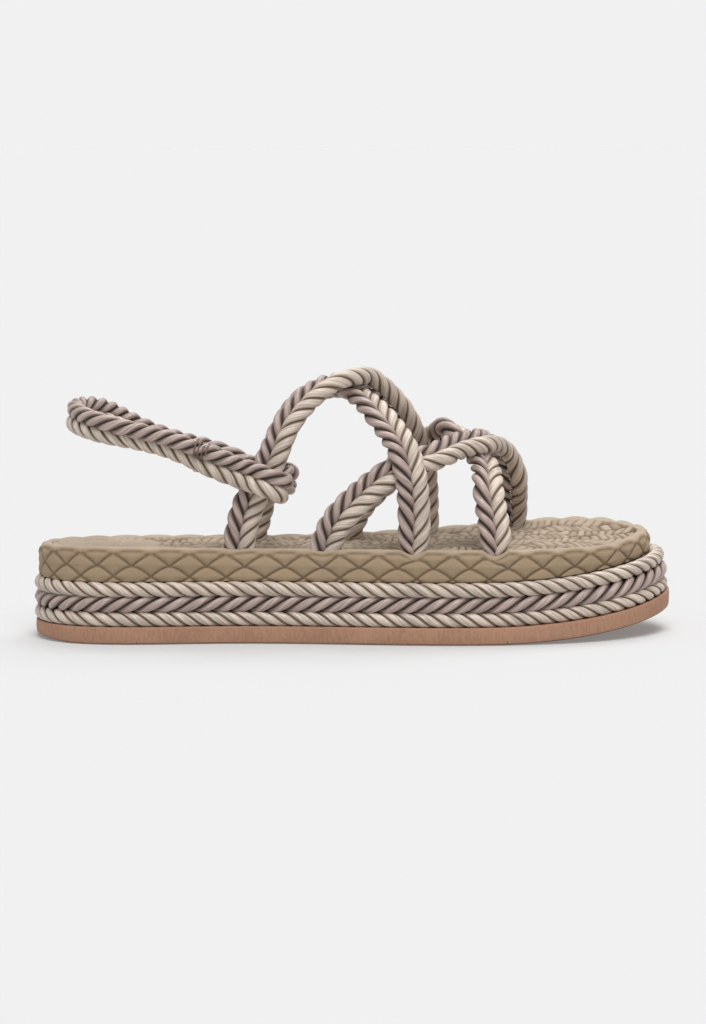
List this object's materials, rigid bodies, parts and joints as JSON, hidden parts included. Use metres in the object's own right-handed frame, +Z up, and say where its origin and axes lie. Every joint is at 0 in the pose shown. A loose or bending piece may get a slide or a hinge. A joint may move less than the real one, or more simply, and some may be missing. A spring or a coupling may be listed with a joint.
{
  "type": "espadrille sandal",
  "caption": "Rope-strap flatform espadrille sandal with crossed twisted-cord straps, a looped heel sling strap, a diamond-braid footbed and a cord-wrapped platform sole.",
  "frame": {"origin": "centre of the sole's box, on the floor", "axes": "+X from heel to toe, +Y from the lateral to the medial side, +Z up"},
  "size_m": [0.2587, 0.0939, 0.1081],
  "materials": {
    "crepe_rubber": "matt pinkish-brown crepe",
    "platform_foam": "matt foam, hidden behind the cords",
    "cream_cord": "satin twisted cord, cream",
    "taupe_cord": "satin twisted cord, taupe",
    "footbed_foam": "matt moulded foam, warm khaki",
    "strap_cord": "satin twisted cords, taupe beside cream"
  },
  "bodies": {
    "root": {"outsole": "crepe_rubber", "midsole": "platform_foam", "foxing_cord_lower": "cream_cord", "foxing_cord_middle": "taupe_cord", "foxing_cord_upper": "cream_cord", "footbed": "footbed_foam", "upper_straps": "strap_cord", "heel_strap": "strap_cord"}
  },
  "joints": []
}
